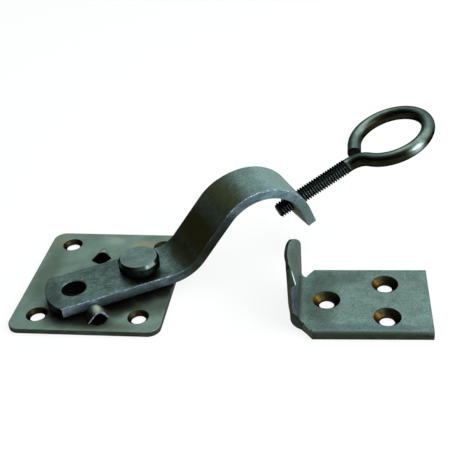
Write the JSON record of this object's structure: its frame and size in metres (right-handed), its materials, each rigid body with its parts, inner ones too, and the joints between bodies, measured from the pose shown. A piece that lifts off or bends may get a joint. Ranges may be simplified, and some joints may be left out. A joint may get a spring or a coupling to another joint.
{
  "type": "toggle bolt latch",
  "caption": "Screw-down swing latch: flat bent arm on a riveted base plate, ring screw through its turned-down end, and a separate keeper plate with an upright hollowed lug.",
  "frame": {"origin": "middle of the base plate's underside, on the leaf's surface", "axes": "+Z away from the leaf, +X along the closed arm from the base plate to the keeper, +Y along the joint between the leaves"},
  "size_m": [0.193, 0.1312, 0.0541],
  "materials": {
    "plate_steel": "satin bare steel, a little yellowed",
    "stud_steel": "turned face with concentric marks",
    "washer_steel": "dull dark steel",
    "arm_steel": "dark mill finish, mottled, edges worn bright",
    "screw_steel": "dark drawn rod, oiled thread",
    "keeper_steel": "bare rolled steel, faintly streaked along its length"
  },
  "bodies": {
    "fixed": {"base_plate": "plate_steel", "pivot_stud": "stud_steel", "spacer_washer": "washer_steel", "head_washer": "washer_steel", "keeper_plate": "keeper_steel"},
    "arm": {"swing_arm": "arm_steel"},
    "shank": {"screw_shank": "screw_steel"},
    "ring": {"screw_ring": "screw_steel"}
  },
  "joints": [
    {"name": "arm_swing", "type": "hinge", "parent": "fixed", "child": "arm", "pos_m": [0.0186, 0, 0], "axis": [0, 0, 1], "range_deg": [-22, 0]},
    {"name": "screw_feed", "type": "slide", "parent": "arm", "child": "shank", "axis": [-0.8019, -0.478, -0.3584], "range_m": [-0.008, 0.024]},
    {"name": "ring_turn", "type": "hinge", "parent": "shank", "child": "ring", "pos_m": [0.08069, 0.03701, 0.01865], "axis": [-0.8019, -0.478, -0.3584], "range_deg": [-2042, 6124]}
  ],
  "couplings": [
    {"joint": "ring_turn", "follows": "screw_feed", "rad_per_m": 4453}
  ]
}
